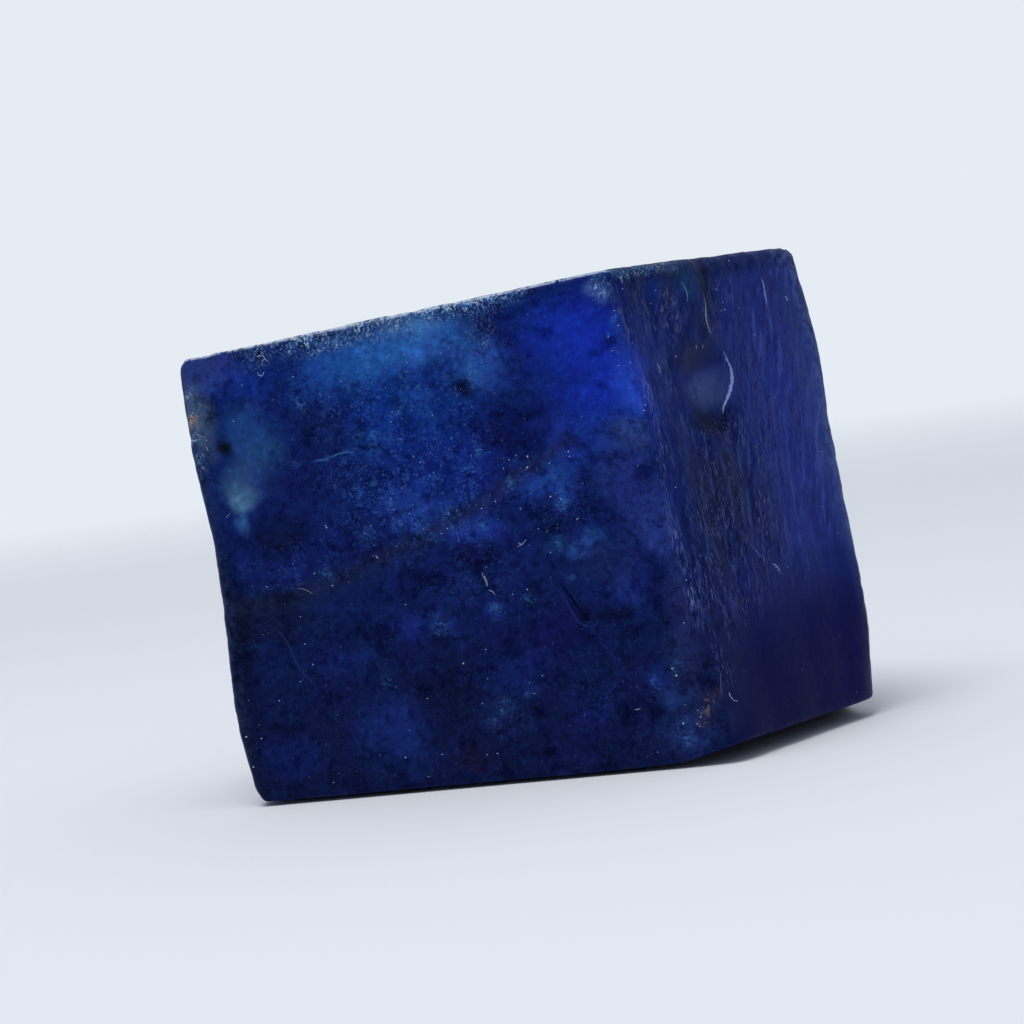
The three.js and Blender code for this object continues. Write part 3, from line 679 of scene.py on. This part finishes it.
# Each layer is a noise between two values, times the layer's own attribute. It lays a colour over what is
# below it, or multiplies that by "times". "perMm" is how many cells there are to a millimetre. With "ring"
# only the places near that value show, which are thin bent lines. "flows" follows the striations.
layers = {
    "veins": {"times": (0.36, 0.32, 0.44), "perMm": 0.6, "detail": 6.0, "range": (0.5, 0.34)},
    "violet": {"times": (1.4, 0.8, 1.15), "perMm": 0.37, "detail": 4.0, "range": (0.47, 0.62)},
    "milk": {"times": (1.3, 1.48, 1.45), "perMm": 0.7, "detail": 5.0, "range": (0.5, 0.7)},
    "darkmottle": {"times": (0.48, 0.42, 0.55), "perMm": 1.7, "detail": 6.0, "range": (0.5, 0.36)},
    "palemottle": {"times": (1.45, 1.6, 1.5), "perMm": 2.3, "detail": 6.0, "range": (0.5, 0.66)},
    "blotches": {"colour": "#2a50b0", "perMm": 2.2, "detail": 3.0, "range": (0.53, 0.68)},
    "curls": {"colour": "#3566c4", "perMm": 3.4, "detail": 2.5, "range": (0.03, 0.008), "ring": 0.56},
    "grains": {"colour": "#5084d8", "perMm": (4.0, 4.0, 5.0), "detail": 3.0, "range": (0.56, 0.74)},
    "bloom": {"colour": "#4f94e0", "perMm": (4.6, 4.6, 6.0), "detail": 4.0, "range": (0.4, 0.64)},
    "pores": {"colour": "#080a24", "perMm": 2.8, "detail": 4.0, "range": (0.45, 0.34)},
    # lighter streaks, partly a painted sheen, on the striated face's right part
    "streaks_and_sheen": {"colour": "#4c5ebc", "perMm": (2.0, 2.0, 0.4), "detail": 3.0, "range": (0.5, 0.7),
             "flows": True},
    "grooves": {"times": (0.42, 0.42, 0.5), "perMm": (3.0, 3.0, 0.5), "detail": 4.0, "range": (0.52, 0.38),
                "flows": True},
    "swells": {"colour": "#3c4a90", "perMm": (3.4, 3.4, 0.55), "detail": 4.0, "range": (0.5, 0.66),
               "flows": True, "shift": (3.7, 1.3, 0.0)},
    # painted shade and painted highlights of the striae: the shadows are the highlights' noise shifted to
    # one side
    "streak_shadows": {"colour": "#0a0e2c", "perMm": (9.5, 9.5, 2.3), "detail": 3.0, "range": (0.51, 0.62),
                    "flows": True, "shift": (0.5, 0.5, 0.0)},
    "streak_highlights": {"colour": "#5a68a4", "perMm": (9.5, 9.5, 2.3), "detail": 3.0, "range": (0.54, 0.63),
                    "flows": True},
    "ridgeflecks": {"colour": "#6c7cbe", "perMm": (11.0, 11.0, 1.6), "detail": 2.5, "range": (0.49, 0.61)},
    "underfrost": {"colour": "#142648", "perMm": 2.0, "detail": 2.0, "range": (0.3, 0.5)},
    "frostclumps": {"colour": "#4a82c4", "perMm": 3.2, "detail": 5.0, "range": (0.46, 0.58)},
    "frost": {"colour": "#c8e2fa", "perMm": (8.0, 8.0, 6.0), "detail": 4.0, "range": (0.535, 0.6)},
    # painted shade on the striated face's brow
    "brow": {"times": (0.34, 0.4, 0.46), "perMm": 2.0, "detail": 3.0, "range": (0.2, 0.42)},
    "ochre": {"colour": "#b4862a", "perMm": 4.0, "detail": 3.0, "range": (0.4, 0.5)},
    # pale rubbed edges, and the painted sheen at the far edge
    "rubbed": {"colour": "#4c66a0", "perMm": 2.0, "detail": 3.0, "range": (0.4, 0.62)},
    # painted highlight on the worn top edge of the broad face
    "rim": {"colour": "#c2d0e2", "perMm": 3.6, "detail": 6.0, "range": (0.38, 0.54)},
    "rust": {"colour": "#807c78", "perMm": (5.0, 5.0, 3.0), "detail": 6.0, "range": (0.49, 0.62)},
}
# round specks: cells to a millimetre, the share of cells without one, and the largest radius in cells
specks = {
    "dots": {"colour": "#3a68cc", "perMm": 4.2, "without": 0.25, "reach": 0.45, "soft": 0.18},
    # painted glints of the grains
    "painted_glints": {"colour": "#9cc2f6", "perMm": 5.2, "without": 0.66, "reach": 0.38, "soft": 0.14},
    "specks": {"colour": "#8fb2e6", "perMm": 2.7, "without": 0.70, "reach": 0.20, "soft": 0.06},
}
stoneFinish = {
    "ior": 1.69, "specular": 0.045, "specularTint": "#7288d8",
    "roughness": (0.34, 0.50),   # of the polished and of the dull patches
    "noiseRoughness": 0.66,
    "raggedMarks": 1.6, "markEdge": (1.75, 1.05),   # in widths of a mark
    "speckEdge": -0.02,                             # in cells
    "fineBump": 0.03, "streakBump": 0.10,           # mm
    "fineStrength": 0.5,
}


# Tanzanite, uncut: cloudy blue stone whose growth faces were etched and rubbed. The eye sees deep
# colour with little gloss, a granular bloom in the paler clouds, and fine pale streaks. Part of its colour
# is painted light and shade: highlights and shadows on the streaks and lips, a highlight on the top edge,
# shade on the brow, in the pit and low down, a sheen at the far edge, a glow by the ridge and glints.
def uncutTanzanite():
    material, tree, shader, where = startMaterial("tanzanite, uncut, etched and rubbed")
    inMm = addNode(tree, "ShaderNodeVectorMath", {0: where, "Scale": 1 / mm}, operation="SCALE").outputs[0]
    read = {name: addNode(tree, "ShaderNodeAttribute", attribute_name=name).outputs
            for name in ["tone", "linetint", "flow", *shows]}

    def laidOn(under, over, value, low, high, strength, blend="MIX"):
        shown = addNode(tree, "ShaderNodeMapRange", {"Value": value, "From Min": low, "From Max": high},
                        interpolation_type="SMOOTHSTEP").outputs[0]
        cover = addNode(tree, "ShaderNodeMath", {0: shown, 1: strength}, operation="MULTIPLY",
                        use_clamp=True).outputs[0]
        return addNode(tree, "ShaderNodeMix", {"Factor": cover, 6: under, 7: over}, data_type="RGBA",
                       blend_type=blend).outputs[2]

    colour = read["tone"]["Color"]
    lump = {}
    for name, layer in layers.items():
        place = read["flow"]["Vector"] if layer.get("flows") else inMm
        perMm, shift = tuple(np.ones(3) * layer["perMm"]), layer.get("shift", (0, 0, 0))
        cells = addNode(tree, "ShaderNodeVectorMath", {0: place, 1: perMm, 2: shift},
                        operation="MULTIPLY_ADD").outputs[0]
        look = {"Scale": 1.0, "Detail": layer["detail"], "Roughness": stoneFinish["noiseRoughness"]}
        value = addNode(tree, "ShaderNodeTexNoise", {"Vector": cells, **look}).outputs["Fac"]
        lump[name] = value
        if "ring" in layer:
            value = addNode(tree, "ShaderNodeMath", {0: value, 1: layer["ring"]}, operation="SUBTRACT")
            value = addNode(tree, "ShaderNodeMath", {0: value.outputs[0]}, operation="ABSOLUTE").outputs[0]
        over = (*layer["times"], 1.0) if "times" in layer else linear(layer["colour"])
        blend = "MULTIPLY" if "times" in layer else "MIX"
        colour = laidOn(colour, over, value, *layer["range"], read[name]["Fac"], blend)

    # the narrow marks, each crisp at its own width and a little broken up
    tint = read["linetint"]
    offset = addNode(tree, "ShaderNodeMath", {0: read["lineoffset"]["Fac"]}, operation="ABSOLUTE")
    ragged = addNode(tree, "ShaderNodeMath", {0: lump["grains"], 1: stoneFinish["raggedMarks"],
                                              2: offset.outputs[0]}, operation="MULTIPLY_ADD").outputs[0]
    colour = laidOn(colour, tint["Color"], ragged, *stoneFinish["markEdge"], tint["Alpha"])

    # so no speck is quite round
    uneven = addNode(tree, "ShaderNodeVectorMath", {0: inMm, 1: lump["grains"]}, operation="ADD").outputs[0]
    for name, speck in specks.items():
        cell = addNode(tree, "ShaderNodeTexVoronoi", {"Vector": uneven, "Scale": speck["perMm"]}).outputs
        chance = addNode(tree, "ShaderNodeSeparateColor", {0: cell["Color"]}).outputs
        reach = addNode(tree, "ShaderNodeMapRange", {"Value": chance[0], "From Min": speck["without"],
                                                     "To Max": speck["reach"]}).outputs[0]
        inside = addNode(tree, "ShaderNodeMath", {0: reach, 1: cell["Distance"]}, operation="SUBTRACT")
        chosen = addNode(tree, "ShaderNodeMath", {0: read[name]["Fac"], 1: chance[1]}, operation="MULTIPLY")
        ends = stoneFinish["speckEdge"], speck["soft"]
        colour = laidOn(colour, linear(speck["colour"]), inside.outputs[0], *ends, chosen.outputs[0])
    tree.links.new(colour, shader.inputs["Base Color"])

    polished, dull = stoneFinish["roughness"]
    matt = addNode(tree, "ShaderNodeMapRange", {"Value": lump["milk"], "From Min": 0.3, "From Max": 0.7,
                                                "To Min": polished, "To Max": dull})
    tree.links.new(matt.outputs[0], shader.inputs["Roughness"])
    shader.inputs["IOR"].default_value = stoneFinish["ior"]
    shader.inputs["Specular IOR Level"].default_value = stoneFinish["specular"]
    shader.inputs["Specular Tint"].default_value = linear(stoneFinish["specularTint"])

    fine = addNode(tree, "ShaderNodeBump", {
        "Height": lump["grains"], "Strength": stoneFinish["fineStrength"],
        "Distance": stoneFinish["fineBump"] * mm}).outputs[0]
    deep = addNode(tree, "ShaderNodeBump", {
        "Height": lump["streak_highlights"], "Strength": read["streak_highlights"]["Fac"],
        "Distance": stoneFinish["streakBump"] * mm, "Normal": fine}).outputs[0]
    tree.links.new(deep, shader.inputs["Normal"])
    return material


crystal = addPiece("crystal", crystalMesh, uncutTanzanite())
corners = [vertex.co.copy() for vertex in crystalMesh.vertices]
surface = BVHTree.FromPolygons(corners, [face.vertices[:] for face in crystalMesh.polygons])


def onSurface(name, reach, tall):   # the spot there, and the way that the face looks
    face = faces[name]
    off = Vector((face["along"][1], -face["along"][0], 0))
    spot = np.array(face["foot"]) + np.array(face["lean"]) * tall + np.array(face["along"]) * reach
    start = Vector((*spot, tall)) * mm + off * 5 * mm
    return surface.ray_cast(start, -off)[0], off


# Dust: grains up to a twelfth of a millimetre across, more of them on the broad face than elsewhere.
dustPiece = {
    "grainsPerMm2": 0.22, "smallest": 0.012, "largest": 0.040, "fewLarge": 4.0, "seed": 5,   # radii in mm
    "colour": "#7f9ad0", "bright": "#b9c8e4", "patchesPerMm": 0.9, "roughness": 0.9, "ior": 1.5,
}


# Mineral dust, settled: white with a little of the stone's blue. The eye sees pinpoints of light.
def settledDust():
    return twoToned("mineral dust, settled", dustPiece)


def dustTree(material):
    tree = bpy.data.node_groups.new("dust scatter", "GeometryNodeTree")
    kinds = {"Geometry": "Geometry", "Grains per m2": "Float", "Smallest": "Float", "Largest": "Float",
             "Seed": "Int"}
    for name, kind in kinds.items():
        tree.interface.new_socket(name, in_out="INPUT", socket_type="NodeSocket" + kind)
    tree.interface.new_socket("Geometry", in_out="OUTPUT", socket_type="NodeSocketGeometry")
    given = addNode(tree, "NodeGroupInput").outputs
    thick = addNode(tree, "GeometryNodeInputNamedAttribute", {"Name": "dustiness"}, data_type="FLOAT")
    density = addNode(tree, "ShaderNodeMath", {0: given["Grains per m2"], 1: thick.outputs[0]},
                      operation="MULTIPLY").outputs[0]
    points = addNode(tree, "GeometryNodeDistributePointsOnFaces", {
        "Mesh": given["Geometry"], "Density": density, "Seed": given["Seed"]}).outputs["Points"]
    grain = addNode(tree, "GeometryNodeMeshIcoSphere", {"Radius": 1.0, "Subdivisions": 1}).outputs["Mesh"]
    chance = addNode(tree, "FunctionNodeRandomValue", {"Seed": given["Seed"]}, data_type="FLOAT").outputs[1]
    rare = addNode(tree, "ShaderNodeMath", {0: chance, 1: dustPiece["fewLarge"]}, operation="POWER")
    size = addNode(tree, "ShaderNodeMapRange", {
        "Value": rare.outputs[0], "To Min": given["Smallest"], "To Max": given["Largest"]}).outputs[0]
    turn = addNode(tree, "FunctionNodeRandomValue", {
        0: (0, 0, 0), 1: (math.tau,) * 3, "Seed": given["Seed"]}, data_type="FLOAT_VECTOR").outputs[0]
    placed = addNode(tree, "GeometryNodeInstanceOnPoints", {
        "Points": points, "Instance": grain, "Rotation": turn, "Scale": size}).outputs[0]
    whole = addNode(tree, "GeometryNodeRealizeInstances", {"Geometry": placed}).outputs[0]
    done = addNode(tree, "GeometryNodeSetMaterial", {"Geometry": whole, "Material": material}).outputs[0]
    addNode(tree, "NodeGroupOutput", {0: done})
    return tree


def scatterDust():
    host = bpy.data.objects.new("dust", crystalMesh.copy())
    bpy.context.scene.collection.objects.link(host)
    dustiness = onBroad * (0.5 + 0.9 * clumped) + 0.5 * elsewhere
    dustiness += onStriated * (0.35 * (1 - calmCorner) + 0.08 * calmCorner)
    dustiness *= smooth(0.1, 0.6, height)
    paint(host.data, "dustiness", "FLOAT", np.append(dustiness, [0.0, 0.5]))
    material = settledDust()
    scatter = host.modifiers.new("scatter", "NODES")
    scatter.node_group = dustTree(material)
    given = {"Grains per m2": dustPiece["grainsPerMm2"] / mm ** 2, "Smallest": dustPiece["smallest"] * mm,
             "Largest": dustPiece["largest"] * mm, "Seed": dustPiece["seed"]}
    for item in scatter.node_group.interface.items_tree:
        if item.in_out == "INPUT" and item.name in given:
            scatter[item.identifier] = given[item.name]
    grains = bpy.data.meshes.new_from_object(host.evaluated_get(bpy.context.evaluated_depsgraph_get()))
    host.modifiers.clear()
    host.data = grains
    grains.materials.clear()
    grains.materials.append(material)
    return host


# Lint caught on the rough stone.
lintPiece = {
    "sides": 6,
    "thinned": 0.62, "ends": 0.35, "lift": 0.3,   # shares of the thicknesses given below
    "colour": "#a4b3ce", "brown": "#6e625e", "browns": (0.25, 1.2), "patchesPerMm": 4.0, "patchy": 0.6,
    "roughness": 0.85,
}
fibres = {   # mm thick, share of brown, and a path of (mm along the face, mm up)
    "broad": [
        (0.07, 0.0, [(4.72, 24.22), (4.86, 24.3), (4.98, 24.22)]),
        (0.06, 0.0, [(4.98, 24.5), (5.08, 24.15), (5.3, 23.9)]),
        (0.05, 0.0, [(4.95, 24.0), (5.15, 24.06)]),
        (0.06, 0.0, [(4.58, 23.4), (4.68, 23.2), (4.85, 23.2), (4.95, 23.38)]),
        (0.05, 0.2, [(0.45, 22.9), (0.62, 22.72), (0.7, 22.45)]),
        (0.04, 0.0, [(0.9, 22.25), (1.1, 22.05)]),
        (0.06, 0.3, [(0.45, 20.7), (0.7, 20.45), (0.95, 20.35)]), (0.05, 0.0, [(0.9, 19.9), (1.0, 19.6)]),
        (0.08, 0.0, [(9.38, 12.9), (9.5, 12.72)]), (0.05, 0.2, [(17.2, 12.45), (17.42, 12.6)]),
        (0.05, 0.0, [(17.35, 12.5), (17.55, 12.6), (17.75, 12.8)]),
        (0.04, 0.0, [(17.3, 12.68), (17.5, 12.55)]), (0.06, 0.1, [(20.6, 13.5), (20.75, 13.6)]),
        (0.03, 0.5, [(18.85, 13.05), (19.05, 13.17)]), (0.07, 0.1, [(22.0, 3.3), (22.3, 3.32)]),
        (0.15, 0.5, [(15.16, 11.15), (15.24, 10.9), (15.22, 10.6)]),
        (0.05, 0.0, [(15.05, 11.35), (15.1, 11.1), (15.16, 10.85)]),
        (0.06, 0.0, [(15.26, 10.38), (15.45, 10.3), (15.58, 10.1)]),
        (0.05, 0.3, [(1.3, 15.9), (1.55, 16.1)]), (0.05, 0.5, [(4.7, 11.65), (5.1, 11.55), (5.5, 11.25)]),
    ],
    "striated": [
        (0.075, 0.0, [(0.36, 3.66), (0.38, 3.44), (0.5, 3.25)]),
        (0.05, 0.0, [(0.5, 3.25), (0.62, 3.16), (0.8, 3.14)]),
        (0.028, 0.5, [(0.21, 4.76), (0.12, 4.3), (0.06, 3.84)]),
        (0.06, 0.0, [(4.95, 21.62), (5.06, 21.42)]), (0.06, 0.7, [(3.3, 24.35), (3.42, 24.55)]),
        (0.05, 0.0, [(5.5, 21.6), (5.56, 21.38)]),
    ],
}


# Cotton lint, loose: dull off-white fibres with a few brown husks. The eye sees short bright hairs.
def looseLint():
    material, tree, shader, where = startMaterial("cotton lint, loose")
    patch = addNode(tree, "ShaderNodeTexNoise", {"Vector": where, "Scale": lintPiece["patchesPerMm"] / mm,
                                                 "Detail": 2.0}).outputs["Fac"]
    brown = addNode(tree, "ShaderNodeAttribute", attribute_name="brown").outputs["Fac"]
    share = addNode(tree, "ShaderNodeMath", {0: patch, 1: lintPiece["patchy"], 2: brown},
                    operation="MULTIPLY_ADD").outputs[0]
    low, high = lintPiece["browns"]
    husk = addNode(tree, "ShaderNodeMapRange", {"Value": share, "From Min": low, "From Max": high})
    tint = addNode(tree, "ShaderNodeMix", {"Factor": husk.outputs[0], 6: linear(lintPiece["colour"]),
                                           7: linear(lintPiece["brown"])}, data_type="RGBA").outputs[2]
    tree.links.new(tint, shader.inputs["Base Color"])
    shader.inputs["Roughness"].default_value = lintPiece["roughness"]
    return material


def layFibre(solid, brownness, name, thickness, brown, path):
    sides, lift = lintPiece["sides"], thickness * lintPiece["lift"] * mm
    line = [hit + off * lift for hit, off in (onSurface(name, *spot) for spot in rounded(path))]
    loops = []
    for i, centre in enumerate(line):
        ahead = (line[min(i + 1, len(line) - 1)] - line[max(i - 1, 0)]).normalized()
        out = ahead.orthogonal().normalized()
        over = ahead.cross(out)
        full = math.sin(math.pi * (i + 0.5) / len(line))
        thin = lintPiece["ends"] + (1 - lintPiece["ends"]) * full
        wide = thickness * lintPiece["thinned"] * mm / 2 * thin
        turns = [math.tau * k / sides for k in range(sides)]
        around = [centre + wide * (out * math.cos(t) + over * math.sin(t)) for t in turns]
        loops.append([solid.verts.new(place) for place in around])
    for one, two in zip(loops, loops[1:]):
        closest = min(range(sides), key=lambda k: (two[k].co - one[0].co).length)
        two[:] = two[closest:] + two[:closest]
        for k in range(sides):
            solid.faces.new((one[k], one[(k + 1) % sides], two[(k + 1) % sides], two[k]))
    solid.faces.new(loops[0][::-1])
    solid.faces.new(loops[-1])
    for vertex in sum(loops, []):
        vertex[brownness] = brown


def layLint():
    solid = bmesh.new()
    brownness = solid.verts.layers.float.new("brown")
    for name, laid in fibres.items():
        for fibre in laid:
            layFibre(solid, brownness, name, *fibre)
    bmesh.ops.recalc_face_normals(solid, faces=solid.faces)
    mesh = bpy.data.meshes.new("lint")
    solid.to_mesh(mesh)
    solid.free()
    return addPiece("lint", mesh, looseLint())


# Grit: single bright grains stuck to the faces.
gritPiece = {
    "size": 0.8, "narrow": 0.8, "flat": 0.6,   # shares of the radius
    "colour": "#6f8bd2", "bright": "#cfdcf2", "patchesPerMm": 2.5, "roughness": 0.45, "ior": 1.54,
}
grit = {   # mm along the face, mm up, radius in mm
    "broad": [
        (18.58, 17.1, 0.075), (18.47, 16.53, 0.085), (20.81, 17.08, 0.06), (20.82, 16.82, 0.05),
        (19.69, 16.59, 0.05), (19.44, 14.87, 0.06), (15.62, 14.7, 0.06), (16.44, 14.97, 0.055),
        (17.72, 14.44, 0.055), (13.58, 13.87, 0.055), (24.34, 5.25, 0.075), (24.49, 4.86, 0.085),
        (24.44, 2.34, 0.08), (13.19, 6.66, 0.075), (6.91, 14.71, 0.07), (8.97, 14.14, 0.05),
        (5.78, 12.34, 0.055), (6.68, 11.58, 0.055), (10.55, 10.12, 0.05), (10.87, 5.0, 0.05),
        (14.37, 5.73, 0.04), (13.86, 4.44, 0.045), (9.06, 1.95, 0.065), (11.15, 1.93, 0.055),
        (10.15, 0.81, 0.05), (13.63, 1.69, 0.045), (14.19, 1.7, 0.055), (16.78, 4.69, 0.045),
        (17.38, 5.59, 0.05), (0.25, 3.93, 0.08), (0.3, 2.23, 0.07), (1.09, 3.75, 0.06),
        (4.75, 0.97, 0.045), (4.56, 10.12, 0.05), (3.91, 6.62, 0.04), (17.36, 10.18, 0.06),
        (18.93, 11.97, 0.05), (14.07, 13.17, 0.045), (13.2, 13.64, 0.05), (12.44, 17.87, 0.05),
        (6.87, 14.82, 0.05), (11.65, 14.9, 0.05), (2.74, 20.99, 0.045), (1.0, 20.18, 0.06),
        (13.86, 19.88, 0.05), (17.99, 17.22, 0.045), (18.35, 16.44, 0.04), (17.17, 16.63, 0.045),
        (24.2, 21.14, 0.045), (25.1, 18.67, 0.06), (25.2, 18.95, 0.055), (25.21, 19.38, 0.045),
        (24.53, 23.17, 0.055), (23.94, 22.68, 0.045), (24.45, 23.95, 0.05), (24.47, 23.7, 0.04),
        (24.03, 21.94, 0.05), (25.05, 22.21, 0.045), (24.81, 21.2, 0.045), (23.75, 25.25, 0.07),
        (23.95, 24.95, 0.05), (25.15, 2.25, 0.055), (25.4, 2.6, 0.06), (25.3, 2.95, 0.045),
        (24.7, 3.3, 0.04),
    ],
    "striated": [
        (10.18, 21.72, 0.055), (13.77, 23.37, 0.09), (13.72, 23.5, 0.07), (8.25, 23.27, 0.06),
        (8.27, 23.66, 0.05), (8.06, 24.39, 0.055), (3.14, 21.17, 0.065), (13.44, 14.82, 0.05),
        (9.78, 25.85, 0.06), (2.79, 24.71, 0.05), (0.48, 25.0, 0.05), (1.62, 20.5, 0.055),
    ],
}


# Quartz grit, bedded in: pale and glassy. The eye sees single bright points.
def beddedGrains():
    return twoToned("quartz grit, bedded in", gritPiece)


def bedGrit():
    solid = bmesh.new()
    for name, grains in grit.items():
        for reach, tall, radius in grains:
            spot, off = onSurface(name, reach, tall)
            turned = off.to_track_quat("Z", "Y").to_matrix().to_4x4()
            wide = radius * gritPiece["size"] * mm
            size = Matrix.Diagonal((wide, wide * gritPiece["narrow"], wide * gritPiece["flat"], 1))
            placed = Matrix.Translation(spot) @ turned @ size
            bmesh.ops.create_icosphere(solid, subdivisions=1, radius=1.0, matrix=placed)
    mesh = bpy.data.meshes.new("grit")
    solid.to_mesh(mesh)
    solid.free()
    return addPiece("grit", mesh, beddedGrains())


dust = scatterDust()
print("dust:", len(dust.data.polygons), "faces")
lint = layLint()
print("lint:", len(lint.data.polygons), "faces")
grains = bedGrit()
print("grit:", len(grains.data.polygons), "faces")

# Sizes and places of the studio are in metres, but for the camera's place and the floor's depth, in mm.
# It is bright overhead and behind the stone, and dark in front, so that the faces stay deep in colour.
sweep = {"radius": 0.9, "under": 0.03, "colour": "#f0f2f5", "roughness": 0.9, "fades": (0.08, 0.45)}
studio = {
    "dome": "#dfe8f5", "seen": "#e5ecf4", "towards": (0.0, 0.45, 0.9), "turn": (-0.5, 0.9), "dark": 0.11,
    "bright": 0.72, "lampAt": (-0.06, -0.10, 0.42), "lampAimedAt": (0.0, 0.0, 0.012), "lampSize": 0.22,
    "lampPower": 0.9,
}
eye = {"at": (-0.93, -143.18, 22.15), "down": 3.353, "roll": 8.0, "lens": 90.0, "sensor": 36.0}


# Paper sweep, matt: pale, and it fades out into the plain background.
def paleFloor():
    bpy.ops.mesh.primitive_circle_add(vertices=96, radius=sweep["radius"], fill_type="NGON",
                                      location=(0, 0, -sweep["under"] * mm))
    floor = bpy.context.object
    floor.name = "floor"
    material, tree, shader, where = startMaterial("paper sweep, matt")
    shader.inputs["Base Color"].default_value = linear(sweep["colour"])
    shader.inputs["Roughness"].default_value = sweep["roughness"]
    shader.inputs["Specular IOR Level"].default_value = 0.0
    away = addNode(tree, "ShaderNodeVectorMath", {0: where}, operation="LENGTH").outputs["Value"]
    start, end = sweep["fades"]
    fade = addNode(tree, "ShaderNodeMapRange", {"Value": away, "From Min": start, "From Max": end},
                   interpolation_type="SMOOTHSTEP").outputs[0]
    clear = addNode(tree, "ShaderNodeBsdfTransparent").outputs[0]
    both = addNode(tree, "ShaderNodeMixShader", {0: fade, 1: shader.outputs[0], 2: clear}).outputs[0]
    tree.links.new(both, tree.nodes["Material Output"].inputs[0])
    floor.data.materials.append(material)


def softStudio():
    world = bpy.data.worlds.new("soft studio")
    bpy.context.scene.world = world
    world.use_nodes = True
    tree = world.node_tree
    tree.nodes.clear()
    way = addNode(tree, "ShaderNodeTexCoord").outputs["Generated"]
    overhead = addNode(tree, "ShaderNodeVectorMath", {0: way, 1: studio["towards"]},
                       operation="DOT_PRODUCT").outputs["Value"]
    low, high = studio["turn"]
    lift = addNode(tree, "ShaderNodeMapRange", {
        "Value": overhead, "From Min": low, "From Max": high,
        "To Min": studio["dark"], "To Max": studio["bright"]}).outputs[0]
    dome = addNode(tree, "ShaderNodeBackground", {"Color": linear(studio["dome"]), "Strength": lift})
    seen = addNode(tree, "ShaderNodeBackground", {"Color": linear(studio["seen"])})
    direct = addNode(tree, "ShaderNodeLightPath").outputs["Is Camera Ray"]
    both = addNode(tree, "ShaderNodeMixShader", {0: direct, 1: dome.outputs[0], 2: seen.outputs[0]})
    addNode(tree, "ShaderNodeOutputWorld", {0: both.outputs[0]})
    light = bpy.data.lights.new("softbox above", "AREA")
    light.size = studio["lampSize"]
    light.energy = studio["lampPower"]
    lamp = bpy.data.objects.new("softbox above", light)
    lamp.location = studio["lampAt"]
    aim = Vector(studio["lampAimedAt"]) - lamp.location
    lamp.rotation_euler = aim.to_track_quat("-Z", "Y").to_euler()
    bpy.context.scene.collection.objects.link(lamp)


def lowCamera():
    down, roll = math.radians(eye["down"]), math.radians(eye["roll"])
    right = Vector((1, 0, 0))
    ahead = Vector((0, math.cos(down), -math.sin(down)))
    up = Vector((0, math.sin(down), math.cos(down)))
    axes = Matrix((math.cos(roll) * right - math.sin(roll) * up,
                   math.sin(roll) * right + math.cos(roll) * up, -ahead)).transposed().to_4x4()
    data = bpy.data.cameras.new("camera")
    data.lens = eye["lens"]
    data.sensor_width = eye["sensor"]
    data.clip_start = 0.01
    data.clip_end = 10.0
    camera = bpy.data.objects.new("camera", data)
    camera.matrix_world = Matrix.Translation(Vector(eye["at"]) * mm) @ axes
    bpy.context.scene.collection.objects.link(camera)
    bpy.context.scene.camera = camera


paleFloor()
softStudio()
lowCamera()
bpy.context.scene.view_settings.view_transform = "Standard"
print("studio: ready")

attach(crystal, "root")
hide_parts("tanzanite_crystal")
for piece in (dust, lint, grains):
    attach(piece, "root")
